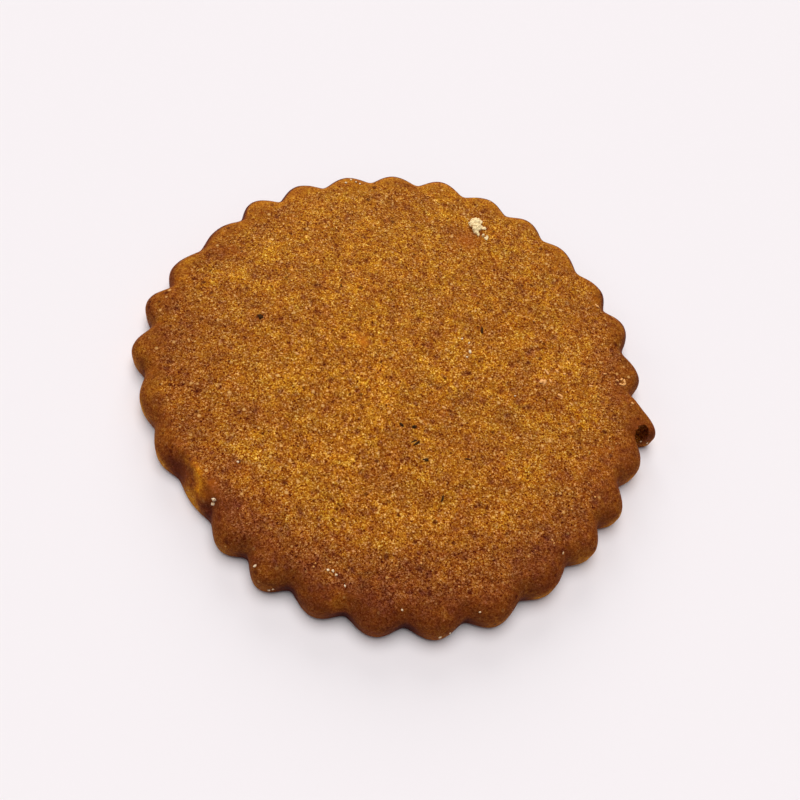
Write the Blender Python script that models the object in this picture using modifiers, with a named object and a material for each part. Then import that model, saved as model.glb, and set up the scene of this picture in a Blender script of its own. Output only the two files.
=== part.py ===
"""A round ginger cookie cut with a fluted cutter, about 62 mm across, lying flat side down.

Lengths are metres and angles are degrees. The dough is laid out round the cutter's axis:
0 degrees points along +X and angles run anticlockwise seen from above.
"""

import bmesh
import bpy
from math import atan2, cos, degrees, exp, floor, hypot, pi, radians, sin, sqrt
from mathutils import Matrix, Vector, noise

MM = 0.001

# The blank
PLAN_RADIUS = 30.0 * MM         # half way between the tips and the valleys of the flutes
RIM_THICKNESS = 4.1 * MM        # where the shoulder begins
DOME_RISE = 0.5 * MM            # how much thicker the middle is
SHOULDER_RADIUS = 2.2 * MM      # round of the top edge
FOOT_RADIUS = 0.8 * MM          # round of the bottom edge
SHOULDER_STEPS = 5
FOOT_STEPS = 3
TOP_RINGS = (0.2, 0.45, 0.68, 0.84)     # shares of the plan radius

# The cutter
FLUTE_COUNT = 29
FLUTE_DEPTH = 1.25 * MM
FLUTE_POWER = 0.95              # above 1 the tips are narrower than the valleys
VALLEY_SOFTNESS = 0.4           # 0 is a sharp valley
FIRST_FLUTE = 6.0
STEPS_PER_FLUTE = 8
RIPPLE_START = 0.90             # share of the plan radius where the flutes begin to show on top
RIPPLE_FULL = 0.98              # and where they have their full depth

# How the dough was stretched as it was lifted: waves round the rim, height, direction of a peak
STRETCHES = (
    (2, 0.43 * MM, -54.0),
    (3, 0.48 * MM, 60.5),
    (4, 0.27 * MM, 14.0),
)
# The flutes are pressed deeper and dragged round most towards one side
DEEPENING = 0.12 * MM
DEEP_SIDE = -21.0
FLUTE_DRIFT = 0.3
DRIFT_SIDE = 178.0

# Flutes unlike the rest, numbered anticlockwise: how much longer each is, and how far round it slid
UNEVEN_FLUTES = {
    0: (0.5 * MM, 0.0),
    1: (0.0, -1.5),
    2: (0.3 * MM, 0.0),
    3: (0.0, -1.0),
    4: (-0.3 * MM, 0.5),
    6: (0.0, -0.5),
    7: (0.3 * MM, 0.0),
    10: (0.3 * MM, 0.5),
    11: (0.5 * MM, 0.0),
    12: (-0.3 * MM, -1.0),
    13: (0.0, 2.0),
    14: (0.5 * MM, 0.0),
    15: (0.5 * MM, 0.0),
    16: (-0.3 * MM, -0.5),
    17: (-0.3 * MM, 0.0),
    18: (-0.9 * MM, -0.5),
    19: (0.0, 0.5),
    20: (0.4 * MM, 0.0),
    25: (-0.3 * MM, 0.5),
    26: (0.0, 1.0),
    27: (0.3 * MM, -0.5),
    28: (0.3 * MM, 0.0),
}

# The torn flute stands out and curls clockwise round a pocket that is open above.
# A web of dough is left in the valley beside it.
TORN_FLUTE = 0
WEB_PLACE = -0.5                # in flutes from the torn one
WEB_WIDTH = 0.32
WEB_REACH = 0.8 * MM
TORN_REACH = 1.1 * MM
TORN_POWER = 1.3                # above 1 the torn flute is narrower at its tip
CURL = 2.9
CURL_START = 28.0 * MM
POCKET_ANGLE = 0.2
POCKET_RADIUS = 29.85 * MM
POCKET_SIZE = (0.8 * MM, 1.15 * MM, 3.0 * MM)      # half sizes: out from the axis, along the rim, up
POCKET_HEIGHT = 3.6 * MM
POCKET_TURN = -12.0
POCKET_LEAN = 22.0              # its top leans towards the valley beside it
POCKET_DETAIL = 3               # times the ball's faces are divided

# A thumb's dent pushes the top edge in at one side and raises a low crest inside it.
# Beside the crest the edge is pressed down.
DENT_ANGLE = -132.0
DENT_WIDTH = 6.5
DENT_PUSH = 0.8 * MM
DENT_DRAG = 1.6                 # flutes beside the dent are dragged round by this much
DENT_DRAG_WIDTH = 20.0
CREST_RADIUS = 26.8 * MM
CREST_WIDTH = 0.55 * MM
CREST_HEIGHT = 0.5 * MM
PRESS_ANGLE = -135.8
PRESS_RADIUS = 28.6 * MM
PRESS_WIDTH = 1.1 * MM
PRESS_DEPTH = 1.3 * MM
PRESS_START = 0.3               # share of the thickness above which it is felt

# Low unevenness of the top
TOP_START = 0.5                 # share of the thickness above which it is felt
WAVINESS = 0.12 * MM
WAVE_LENGTH = 9.0 * MM

# A pale crumb baked onto the top, with a small one beside it: angle, distance out, half width, height
CRUMBS = (
    (79.6, 23.7 * MM, 0.95 * MM, 0.9 * MM),
    (75.2, 22.6 * MM, 0.42 * MM, 0.45 * MM),
)
CRUMB_ROUGHNESS = 0.25
CRUMB_GRAIN = 1.7               # bumps across a crumb
CRUMB_VARIETY = 5.0             # distance in the noise between one crumb and the next
CRUMB_DETAIL = 2
CRUMB_SINK = 0.35               # share of a crumb's height that is under the crust

CRUST_COLOUR = (0.36, 0.14, 0.025, 1.0)
CRUST_ROUGHNESS = 0.75
SMOOTH_ANGLE = 40.0
WELD = 1e-6


def remove_everything():
    for leftover in list(bpy.data.objects):
        bpy.data.objects.remove(leftover, do_unlink=True)


def make_collection(name):
    collection = bpy.data.collections.new(name)
    bpy.context.scene.collection.children.link(collection)
    return collection


def smooth_step(low, high, value):
    share = min(max((value - low) / (high - low), 0.0), 1.0)
    return share * share * (3.0 - 2.0 * share)


def angle_between(angle, other):
    """The signed turn from one direction to another, from -180 to 180."""
    return (angle - other + 180.0) % 360.0 - 180.0


def bell(distance, width):
    return exp(-(distance / width) ** 2)


def flute_wave(turns):
    """0 in the valley between two flutes and 1 at a tip, with turns counted in flutes."""
    crest = cos(pi * (turns - round(turns)))
    softened = sqrt(crest ** 2 + VALLEY_SOFTNESS ** 2) - VALLEY_SOFTNESS
    highest = sqrt(1.0 + VALLEY_SOFTNESS ** 2) - VALLEY_SOFTNESS
    return (softened / highest) ** FLUTE_POWER


def unevenness(number):
    return UNEVEN_FLUTES.get(number % FLUTE_COUNT, (0.0, 0.0))


def slide(turns):
    """How far the flutes slid round the rim, shared out between one flute's middle and the next."""
    before = floor(turns)
    share = turns - before
    return unevenness(before)[1] * (1.0 - share) + unevenness(before + 1)[1] * share


def rim_waves(waves, angle):
    """The sum of several waves round the rim at one angle."""
    return sum(height * cos(radians(count * (angle - peak))) for count, height, peak in waves)


def flute_reach(turns, angle):
    """How far the flutes stand in or out of the plan radius."""
    depth = FLUTE_DEPTH + DEEPENING * cos(radians(angle - DEEP_SIDE))
    wave = flute_wave(turns)
    number = round(turns) % FLUTE_COUNT
    reach = depth * (wave - 0.5) + unevenness(number)[0] * wave
    if number == TORN_FLUTE:
        reach += TORN_REACH * wave ** TORN_POWER
    return reach + WEB_REACH * bell(turns - WEB_PLACE, WEB_WIDTH)


def drag(angle):
    """The turn by which the dough was dragged round the rim."""
    drift = FLUTE_DRIFT * cos(radians(angle - DRIFT_SIDE))
    return drift + DENT_DRAG * bell(angle_between(angle, DENT_ANGLE), DENT_DRAG_WIDTH)


def arc_points(centre_radius, centre_height, radius, start, end, steps):
    points = []
    for step in range(steps + 1):
        angle = radians(start + (end - start) * step / steps)
        points.append((centre_radius + radius * cos(angle), centre_height + radius * sin(angle)))
    return points


def blank_profile():
    """Distance out and height, from the middle of the top to the middle of the underside."""
    shoulder_start = PLAN_RADIUS - SHOULDER_RADIUS
    points = [(0.0, RIM_THICKNESS + DOME_RISE)]
    for share in TOP_RINGS:
        radius = share * PLAN_RADIUS
        rise = DOME_RISE * (1.0 - (radius / shoulder_start) ** 2)
        points.append((radius, RIM_THICKNESS + rise))
    shoulder_height = RIM_THICKNESS - SHOULDER_RADIUS
    points += arc_points(shoulder_start, shoulder_height, SHOULDER_RADIUS, 90.0, 0.0, SHOULDER_STEPS)
    foot_start = PLAN_RADIUS - FOOT_RADIUS
    points += arc_points(foot_start, FOOT_RADIUS, FOOT_RADIUS, 0.0, -90.0, FOOT_STEPS)
    points.append((0.0, 0.0))
    return points


def turned_blank():
    """The plain round disc, turned from its profile."""
    profile = blank_profile()
    mesh = bpy.data.meshes.new("blank_profile")
    mesh.from_pydata(
        [(radius, 0.0, height) for radius, height in profile],
        [(index, index + 1) for index in range(len(profile) - 1)],
        [],
    )
    blank = bpy.data.objects.new("blank", mesh)
    bpy.context.scene.collection.objects.link(blank)
    turning = blank.modifiers.new("Turning", "SCREW")
    turning.angle = 2.0 * pi
    turning.steps = FLUTE_COUNT * STEPS_PER_FLUTE
    turning.render_steps = turning.steps
    turning.use_merge_vertices = True
    turning.merge_threshold = WELD
    turning.use_normal_calculate = True
    disc = bpy.data.meshes.new_from_object(blank.evaluated_get(bpy.context.evaluated_depsgraph_get()))
    bpy.data.objects.remove(blank, do_unlink=True)
    return disc


def shaped_point(point):
    """Where a point of the plain disc ends up in the baked cookie."""
    radius = hypot(point.x, point.y)
    if radius < WELD:
        return point
    cutter_angle = degrees(atan2(point.y, point.x))
    turns = cutter_angle * FLUTE_COUNT / 360.0
    angle = cutter_angle + FIRST_FLUTE
    edge = radius / PLAN_RADIUS
    ripple = smooth_step(RIPPLE_START, RIPPLE_FULL, edge)
    height_share = point.z / RIM_THICKNESS
    angle += (drag(angle) + slide(turns)) * edge

    reach = radius + rim_waves(STRETCHES, angle) * edge + flute_reach(turns, angle) * ripple
    if round(turns) % FLUTE_COUNT == TORN_FLUTE:
        angle -= CURL * flute_wave(turns) * smooth_step(CURL_START, PLAN_RADIUS, reach)

    dent = bell(angle_between(angle, DENT_ANGLE), DENT_WIDTH)
    reach -= DENT_PUSH * dent * height_share * ripple
    around = radians(angle_between(angle, PRESS_ANGLE)) * PRESS_RADIUS
    pressed = bell(hypot(reach - PRESS_RADIUS, around), PRESS_WIDTH)
    height = point.z - PRESS_DEPTH * pressed * smooth_step(PRESS_START, 1.0, height_share)
    if height_share > TOP_START:
        height += CREST_HEIGHT * dent * bell(reach - CREST_RADIUS, CREST_WIDTH)
        place = Vector((point.x, point.y, 0.0)) / WAVE_LENGTH
        height += WAVINESS * noise.noise(place) * smooth_step(TOP_START, 1.0, height_share)
    return Vector((reach * cos(radians(angle)), reach * sin(radians(angle)), height))


def bake_cookie(disc):
    """The disc with its flutes, its dent and its uneven top."""
    dough = bmesh.new()
    dough.from_mesh(disc)
    bmesh.ops.remove_doubles(dough, verts=dough.verts, dist=WELD)
    for corner in dough.verts:
        corner.co = shaped_point(corner.co)
    dough.to_mesh(disc)
    dough.free()
    disc.name = "cookie"
    return bpy.data.objects.new("cookie", disc)


def plan_middle(cookie):
    """The middle of the cookie seen from above."""
    across = [corner.co.x for corner in cookie.data.vertices]
    along = [corner.co.y for corner in cookie.data.vertices]
    return Vector(((min(across) + max(across)) / 2, (min(along) + max(along)) / 2, 0.0))


def top_height(radius):
    shoulder_start = PLAN_RADIUS - SHOULDER_RADIUS
    return RIM_THICKNESS + DOME_RISE * (1.0 - (radius / shoulder_start) ** 2)


def lump(name, collection, subdivisions):
    """A ball of radius 1 m, to be scaled and moved."""
    ball = bmesh.new()
    bmesh.ops.create_icosphere(ball, subdivisions=subdivisions, radius=1.0)
    mesh = bpy.data.meshes.new(name)
    ball.to_mesh(mesh)
    ball.free()
    piece = bpy.data.objects.new(name, mesh)
    collection.objects.link(piece)
    return piece


def place_on_plan(piece, angle, radius, height, turn=0.0, lean=0.0):
    piece.location = (radius * cos(radians(angle)), radius * sin(radians(angle)), height)
    piece.rotation_euler = (radians(lean), 0.0, radians(angle + turn))


def make_pocket(collection):
    """The hole that the torn flute curls round."""
    pocket = lump("pocket", collection, POCKET_DETAIL)
    pocket.data.transform(Matrix.Diagonal((*POCKET_SIZE, 1.0)))
    place_on_plan(pocket, POCKET_ANGLE, POCKET_RADIUS, POCKET_HEIGHT, POCKET_TURN, POCKET_LEAN)
    pocket.hide_render = True
    pocket.display_type = "WIRE"
    return pocket


def make_crumb(number, angle, radius, half_width, height, collection):
    """One angular crumb, partly sunk in the crust."""
    crumb = lump(f"crumb_{number}", collection, CRUMB_DETAIL)
    for corner in crumb.data.vertices:
        bump = noise.noise(corner.co * CRUMB_GRAIN + Vector((number * CRUMB_VARIETY, 0.0, 0.0)))
        corner.co *= 1.0 + CRUMB_ROUGHNESS * bump
    half_height = height / (2.0 * (1.0 - CRUMB_SINK))
    crumb.data.transform(Matrix.Diagonal((half_width, half_width, half_height, 1.0)))
    place_on_plan(crumb, angle, radius, top_height(radius) + height - half_height)
    return crumb


def join_crumbs(cookie, parent):
    """Fuse the crumbs to the top and remove their own objects."""
    lumps = make_collection("crumb lumps")
    for number, crumb in enumerate(CRUMBS):
        make_crumb(number, *crumb, lumps).parent = parent
    union = cookie.modifiers.new("Stuck crumbs", "BOOLEAN")
    union.operation = "UNION"
    union.operand_type = "COLLECTION"
    union.collection = lumps
    union.solver = "EXACT"
    bpy.context.view_layer.update()
    joined = bpy.data.meshes.new_from_object(cookie.evaluated_get(bpy.context.evaluated_depsgraph_get()))
    cookie.modifiers.remove(union)
    cookie.data = joined
    for crumb in list(lumps.objects):
        bpy.data.objects.remove(crumb, do_unlink=True)
    bpy.data.collections.remove(lumps)


def crust_material():
    crust = bpy.data.materials.new("baked crust")
    crust.use_nodes = True
    shader = crust.node_tree.nodes["Principled BSDF"]
    shader.inputs["Base Color"].default_value = CRUST_COLOUR
    shader.inputs["Roughness"].default_value = CRUST_ROUGHNESS
    shader.inputs["Metallic"].default_value = 0.0
    return crust


def finish_surface(piece):
    piece.data.materials.clear()
    piece.data.materials.append(crust_material())
    piece.data.shade_smooth()
    piece.data.set_sharp_from_angle(angle=radians(SMOOTH_ANGLE))


def main():
    remove_everything()
    parts = make_collection("ginger cookie")
    cutters = make_collection("cutters")

    cookie = bake_cookie(turned_blank())
    parts.objects.link(cookie)
    cutter_axis = bpy.data.objects.new("cutter axis", None)
    parts.objects.link(cutter_axis)
    cutter_axis.location = -plan_middle(cookie)
    cookie.parent = cutter_axis

    pocket = make_pocket(cutters)
    pocket.parent = cutter_axis
    bpy.context.view_layer.update()
    join_crumbs(cookie, cutter_axis)

    tear = cookie.modifiers.new("Torn pocket", "BOOLEAN")
    tear.operation = "DIFFERENCE"
    tear.object = pocket
    tear.solver = "EXACT"
    finish_surface(cookie)


main()
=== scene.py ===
"""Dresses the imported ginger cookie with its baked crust, stray crumbs and flecks of spice."""

import random
from math import cos, pi, radians, sin

import bmesh
import bpy
import numpy as np
from mathutils import Matrix, Quaternion, Vector, kdtree, noise
from mathutils.bvhtree import BVHTree


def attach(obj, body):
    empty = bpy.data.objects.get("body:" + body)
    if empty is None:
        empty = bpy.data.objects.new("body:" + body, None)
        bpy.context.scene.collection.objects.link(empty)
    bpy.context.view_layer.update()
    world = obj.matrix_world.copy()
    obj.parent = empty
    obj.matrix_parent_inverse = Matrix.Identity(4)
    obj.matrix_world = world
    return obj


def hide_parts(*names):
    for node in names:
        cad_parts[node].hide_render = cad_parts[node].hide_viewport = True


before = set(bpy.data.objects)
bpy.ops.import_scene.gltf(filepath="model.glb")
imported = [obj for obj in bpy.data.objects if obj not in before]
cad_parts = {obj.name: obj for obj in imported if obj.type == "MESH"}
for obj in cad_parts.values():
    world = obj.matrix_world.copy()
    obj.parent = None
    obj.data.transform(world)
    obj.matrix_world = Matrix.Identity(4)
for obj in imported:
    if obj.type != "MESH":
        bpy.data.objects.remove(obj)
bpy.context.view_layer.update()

bl_info = {
    "name": "Ginger Cookie",
    "version": (1, 0, 0),
    "blender": (4, 5, 0),
    "location": "3D View > Sidebar > Cookie",
    "description": "A fluted ginger cookie with its crumbs, on a pale table",
    "category": "Object",
}

MM = 0.001                      # all sizes are in metres
PICTURE_SIDE = 800              # pixels across the picture that places are read from
SENSOR_WIDTH = 36.0             # of the camera, in its own millimetres
CLIP_START = 1.0 * MM
TABLE_REACH = 1.5               # metres from the middle of the table to each side
TABLE_DROP = 0.01 * MM          # how far the table top lies under the cookie
TINY = 1e-18                    # keeps a stretch that has no length from dividing by zero

# The blank, as the solid has it
PLAN_RADIUS = 30.0 * MM         # half way between the tips and the valleys of the flutes
RIM_THICKNESS = 4.1 * MM        # where the shoulder begins
DOME_RISE = 0.5 * MM            # how much thicker the middle is
SHOULDER_RADIUS = 2.2 * MM      # round of the top edge
FOOT_RADIUS = 0.8 * MM          # round of the bottom edge

# The cutter, as the solid has it. All directions and turns of the cookie are in degrees.
FLUTE_COUNT = 29
FLUTE_DEPTH = 1.25 * MM
FLUTE_POWER = 0.95              # less than 1 makes the tips broader
VALLEY_SOFTNESS = 0.4           # how round the bottoms of the valleys are
FIRST_FLUTE = 6.0               # direction of flute 0
RIPPLE_START = 0.90             # share of the radius where the flutes begin
RIPPLE_FULL = 0.98              # and where they are full

# Waves round the rim: how many, height, direction of a peak
STRETCHES = ((2, 0.43 * MM, -54.0), (3, 0.48 * MM, 60.5), (4, 0.27 * MM, 14.0))
DEEPENING = 0.12 * MM           # how much deeper the flutes are on one side
DEEP_SIDE = -21.0
FLUTE_DRIFT = 0.3               # how far the flutes drift round the rim on either side of one direction
DRIFT_SIDE = 178.0

# Flutes unlike the rest, numbered anticlockwise: how many millimetres longer each is, and how far round it
# slid in degrees
UNEVEN_FLUTES = {
    0: (0.5, 0.0), 1: (0.0, -1.5), 2: (0.3, 0.0), 3: (0.0, -1.0), 4: (-0.3, 0.5), 6: (0.0, -0.5),
    7: (0.3, 0.0), 10: (0.3, 0.5), 11: (0.5, 0.0), 12: (-0.3, -1.0), 13: (0.0, 2.0), 14: (0.5, 0.0),
    15: (0.5, 0.0), 16: (-0.3, -0.5), 17: (-0.3, 0.0), 18: (-0.9, -0.5), 19: (0.0, 0.5), 20: (0.4, 0.0),
    25: (-0.3, 0.5), 26: (0.0, 1.0), 27: (0.3, -0.5), 28: (0.3, 0.0),
}

# The torn flute and its pocket
TORN_FLUTE = 0
WEB_PLACE = -0.5                # the web of dough beside it: place and width in flutes
WEB_WIDTH = 0.32
WEB_REACH = 0.8 * MM
TORN_REACH = 1.1 * MM           # how far its tip stands out
TORN_POWER = 1.3
CURL = 2.9                      # how far round its tip is turned
CURL_START = 28.0 * MM
POCKET_ANGLE = 0.2              # direction of the pocket, and its place, half sizes and turns
POCKET_RADIUS = 29.85 * MM
POCKET_SIZE = (0.8 * MM, 1.15 * MM, 3.0 * MM)
POCKET_HEIGHT = 3.6 * MM
POCKET_TURN = -12.0
POCKET_LEAN = 22.0
POCKET_FINENESS = 5             # more makes the ball that cuts it finer
POCKET_BUMPS = ((2.2, 0.16), (5.5, 0.08))       # fineness and height of each layer of bumps

# The dent, the low crest inside it and the pressed place beside that
DENT_ANGLE = -132.0
DENT_WIDTH = 6.5
DENT_PUSH = 0.8 * MM
DENT_DRAG = 1.6
DENT_DRAG_WIDTH = 20.0
CREST_RADIUS = 26.8 * MM
CREST_WIDTH = 0.55 * MM
CREST_HEIGHT = 0.5 * MM
PRESS_ANGLE = -135.8
PRESS_RADIUS = 28.6 * MM
PRESS_WIDTH = 1.1 * MM
PRESS_DEPTH = 1.3 * MM
PRESS_START = 0.3               # share of the thickness where the pressing begins

# Low waves of the top
TOP_START = 0.5                 # share of the thickness where the top begins
WAVINESS = 0.12 * MM
WAVE_LENGTH = 9.0 * MM

# Fineness of the crust's mesh
RIM_SEGMENTS = FLUTE_COUNT * 32
UNDERSIDE_STEP = 0.8 * MM
SPARSE_SHARE = 0.75             # a ring takes fewer points once they would be this close, in steps

# Relief of the crust: wavelength and height of each layer of unevenness
RELIEF_LAYERS = ((4.5 * MM, 0.070 * MM), (1.7 * MM, 0.045 * MM), (0.8 * MM, 0.035 * MM))
LAYER_SHIFT = 3.7               # moves the noise of each layer away from the one before
ROUGH_LEVEL = 0.25              # share of the thickness from which the relief is full
CALM_START = 0.86               # share of the radius from which the crust is calmer
CALM_LOSS = 0.5                 # share of the finer layers that the rim loses
PIT_SEED = 29                   # the seeds make the same draws each time
PIT_RADII = (0.15 * MM, 0.42 * MM)
PIT_CROWDING = 3                # more makes more of the pits small
PIT_SLOPE = 0.32                # depth of a pit for its radius
PIT_LEVELS = (0.4, 0.9)         # shares of the thickness between which the pits begin
PIT_RIM_START = 0.85            # share of the radius from which the pits are shallower
PIT_RIM_LOSS = 0.6

# Stains in the crust, with painted shade and a painted highlight among them: a pixel of the picture, a
# radius in millimetres, how dark (below 0 is paler) and how orange. The dark marks round the torn flute's
# pocket, on the dent's shaded walls beside its crest and at the edge of the large crumb are painted shade,
# and the pale marks along the dent's crest are a painted highlight; the rest are stains.
STAIN_AND_LIGHT_PIXELS = (
    (410, 262, 10.0, -0.12, 0.0), (612, 352, 4.0, 0.45, 0.0), (604, 312, 2.5, 0.35, 0.0),
    (205, 505, 2.5, -0.25, 0.0), (152, 385, 2.5, -0.3, 0.0), (180, 330, 5.5, 0.3, 0.0),
    (200, 395, 5.5, 0.25, 0.0), (466, 240, 1.6, 0.7, 0.4), (362, 341, 0.8, -0.4, 0.9),
    (225, 252, 1.2, 0.6, 0.2), (338, 603, 1.0, -0.7, 0.0), (606, 522, 1.3, 0.4, 0.1),
    (616, 392, 1.6, 0.5, 0.2), (592, 470, 2.0, 0.25, 0.1), (618, 455, 1.5, 0.35, 0.1),
    (636, 428, 1.0, 1.0, 0.2), (641, 421, 0.8, 0.7, 0.2), (651, 430, 0.8, 0.9, 0.1),
    (650, 438, 0.8, 1.0, 0.1), (644, 442, 0.7, 1.0, 0.1), (171, 463, 1.1, 1.2, 0.0),
    (180, 469, 0.9, 1.3, 0.1), (184, 478, 0.7, 1.2, 0.1), (187, 460, 0.45, -0.8, 0.0),
    (196, 466, 0.6, -1.3, 0.2), (198, 474, 0.6, -1.4, 0.2), (199, 482, 0.6, -1.7, 0.2),
    (198, 490, 0.6, -1.4, 0.2), (204, 496, 0.5, -0.8, 0.1), (216, 491, 0.6, 0.6, 0.1),
    (211, 482, 0.5, 0.2, 0.45), (211, 493, 0.9, 0.9, 0.3), (204, 508, 1.0, 1.1, 0.0),
    (209, 515, 0.6, 1.2, 0.0), (223, 505, 1.3, 0.8, 0.1), (392, 324, 0.35, 0.9, 0.2),
    (455, 317, 0.35, 0.9, 0.2), (471, 229, 0.35, 0.8, 0.2), (474, 234, 0.35, 0.8, 0.2),
    (481, 233, 0.3, 1.2, 0.2), (474, 217, 0.35, 0.7, 0.2), (483, 400, 0.4, 1.1, 0.1),
    (461, 402, 0.35, 0.9, 0.1), (438, 334, 0.45, 0.9, 0.1), (314, 324, 0.4, 0.9, 0.1),
    (363, 451, 0.45, 1.0, 0.1), (468, 437, 0.45, 0.9, 0.1), (316, 462, 0.35, 0.9, 0.1),
    (237, 507, 0.45, 1.1, 0.1),
)
STAIN_AND_LIGHT_RAGGEDNESS = 0.5
STAIN_AND_LIGHT_GRAIN = (0.9 * MM, 11.0)          # wavelength and shift of the noise that makes the stains and painted marks ragged

# Places where the crust is pressed in or stands up: pixels of a line, half width and height in millimetres
PRESSED_PIXELS = (
    (((191, 465), (198, 468), (202, 479), (202, 491)), 0.32, 0.22), (((207, 510), (213, 503)), 0.6, -0.4),
    (((356, 574), (366, 577), (377, 578)), 0.15, -0.22),
    (((370, 575), (379, 575), (387, 574)), 0.15, -0.22),
    (((369, 330), (374, 338), (378, 330)), 0.14, -0.16), (((434, 333), (444, 334)), 0.14, -0.16),
    (((637, 418), (643, 424)), 0.9, -0.25),
)

# Pale crumbs, as a pixel of the picture and a width in millimetres: the lumps of the large one, then the
# small ones
LARGE_CRUMB_LUMPS = (
    (470, 224, 0.75), (472, 223, 1.15), (474, 221, 0.9), (476, 223, 1.25), (478, 221, 0.75),
    (479, 224, 1.0), (473, 226, 1.2), (477, 227, 1.3), (475, 230, 0.95), (480, 229, 0.9),
    (483, 229, 0.85), (476, 233, 0.8), (478, 235, 0.6), (483, 236, 0.4), (486, 239, 0.6),
    (487, 237, 0.45),
)
SMALL_CRUMB_PIXELS = (
    (462, 339, 0.32), (469, 343, 0.28), (470, 352, 0.45), (467, 357, 0.25), (515, 396, 0.22),
    (328, 570, 0.3), (333, 571, 0.32), (336, 575, 0.28), (345, 586, 0.25), (255, 566, 0.42),
    (269, 590, 0.28), (273, 589, 0.28), (440, 637, 0.34), (450, 633, 0.24), (480, 612, 0.26),
    (402, 610, 0.26), (563, 553, 0.26), (214, 499, 0.5), (213, 504, 0.42), (641, 442, 0.28),
    (647, 443, 0.24), (238, 462, 0.32), (346, 183, 0.35), (351, 180, 0.3), (356, 182, 0.3),
    (360, 184, 0.28),
)

# Tan chips of dough and dark flecks of spice, as the pixels of their two ends and a width in millimetres
CHIP_PIXELS = (
    ((541, 382), (543, 381), 0.5), ((544, 384), (545, 381), 0.42), ((545, 370), (546, 371), 0.28),
    ((547, 372), (548, 374), 0.26), ((550, 380), (551, 382), 0.28), ((556, 370), (558, 372), 0.24),
    ((564, 374), (565, 374), 0.28), ((559, 395), (560, 395), 0.32), ((561, 396), (562, 397), 0.3),
    ((596, 305), (598, 307), 0.3), ((617, 380), (618, 381), 0.26), ((624, 380), (625, 383), 0.28),
    ((621, 380), (622, 379), 0.26), ((620, 384), (622, 385), 0.26), ((623, 385), (625, 384), 0.3),
    ((632, 403), (633, 404), 0.28), ((571, 404), (572, 405), 0.24), ((604, 374), (606, 374), 0.22),
    ((590, 386), (592, 386), 0.24), ((262, 312), (264, 313), 0.26), ((296, 353), (298, 354), 0.26),
    ((306, 308), (307, 309), 0.24), ((443, 407), (445, 408), 0.26),
)
FLECK_PIXELS = (
    ((260, 316), (261, 318), 0.55), ((482, 328), (482, 333), 0.32), ((401, 424), (402, 425), 0.4),
    ((414, 427), (415, 427), 0.42), ((412, 442), (417, 440), 0.2), ((414, 445), (419, 442), 0.28),
    ((425, 460), (427, 460), 0.45), ((466, 459), (470, 459), 0.2), ((443, 497), (442, 501), 0.28),
    ((341, 284), (341, 286), 0.22),
)

# Lumps of each piece: how finely each is made, its bumps, its height for its width, and the share of its
# height that is under the crust
LUMP_SHAPES = {
    "large_crumb": (3, 0.2, 0.7, 0.2),
    "small_crumbs": (2, 0.5, 0.7, 0.3),
    "chips": (2, 0.5, 0.5, 0.35),
    "tan_grains": (1, 0.5, 0.7, 0.45),
    "spice_flecks": (2, 0.6, 0.5, 0.5),
}
BUMP_FINENESS = (1.4, 3.3)      # of a lump's bumps and of the finer ones on them, which are half as high
LUMP_SHIFT = (3.1, 1.7, 0.9)    # moves each lump's bumps away from the last one's
ROUNDNESS = (0.6, 1.0)          # least and most width of a round lump for its length
CRUMB_SEED = 7
FUSED_VOXEL = 0.05 * MM         # the large crumb's lumps grown together, and how rough that is
FUSED_ROUGHNESS = 0.12 * MM
FUSED_LAYERS = ((0.38 * MM, 1.0, 2.0), (0.17 * MM, 0.6, 4.0))       # wavelength, weight and shift

# Small tan grains: how far out they lie and their widths, with more crowding for more small ones
GRAIN_SEED = 41
GRAIN_REACH = 27.5 * MM
GRAIN_WIDTHS = (0.12 * MM, 0.34 * MM)
GRAIN_CROWDING = 2

# Grain of the dough: wavelength and weight of each layer of noise that changes its tone
FINE_TONES = ((0.17 * MM, 1.4), (0.30 * MM, 0.6))
# The same for the layers that brown it more or less
PATCHES = ((0.5 * MM, 0.62), (1.0 * MM, 0.72), (2.1 * MM, 0.75), (4.2 * MM, 0.62), (8.5 * MM, 0.42))
# The same for the layers that make it redder or yellower
RUDDY_PATCHES = ((0.5 * MM, 1.3), (1.0 * MM, 1.4), (2.1 * MM, 1.1), (4.2 * MM, 1.1))
RUDDY_SHIFT = (0.37, 0.11, 0.23)        # moves the red patches away from the brown ones
# The same for the layers that raise it
HEIGHT_TONES = ((0.3 * MM, 0.5), (0.6 * MM, 0.8))
TONE_DISTORTION = 1.2           # how twisted all these layers are
MIDDLE_TONE = 0.5
BLUE_LIMIT = (0.34, 0.007)      # most blue light of tinted dough: share of its green light, and some more
BROWNED_REDNESS = 0.6           # redness that a unit of browning brings
CALM_GRAIN = 0.5                # shares of the grain and of the patches that the calm rim keeps
CALM_PATCHES = 0.8
BLUSH_COVER = 0.8               # how much the orange stains cover
NARROWEST_SPECK = 0.5           # width of the narrowest specks for the mean width
SPECK_SHARPNESS = 2.0           # more makes them larger, with crisper edges
# Specks darker and paler than the grain: spacing, share of places that have one, mean width for the spacing
DARK_SPECKS = {"Spacing": 1.3 * MM, "Share": 0.35, "Width": 0.20}
PALE_SPECKS = {"Spacing": 0.75 * MM, "Share": 0.16, "Width": 0.24}
DARK_COVER = 0.75               # how much the dark specks cover
PALE_BROWNING = (0.2, 1.2)      # browning and painted shade from which the pale specks fade, and to which
PALE_COVER = (0.8, 0.1)         # how much they cover there
CRUMB_TONE = 0.75               # middle tone of crumbs and flecks, and how much it varies
CRUMB_CONTRAST = 1.5
CRUMB_GRAIN = 0.05 * MM         # height of their grain, which is only shaded

# Browning of the rim: direction where it is strongest, share of the radius where it starts on the far side
# and on that side, where it is full, how much there is, and how fast it falls off round the rim
BAKED_SIDE = -80.0
BAKED_START = (0.82, 0.66)
BAKED_FULL = 1.02
BAKED_MOST = 1.2
BAKED_FALL = 1.4
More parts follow.
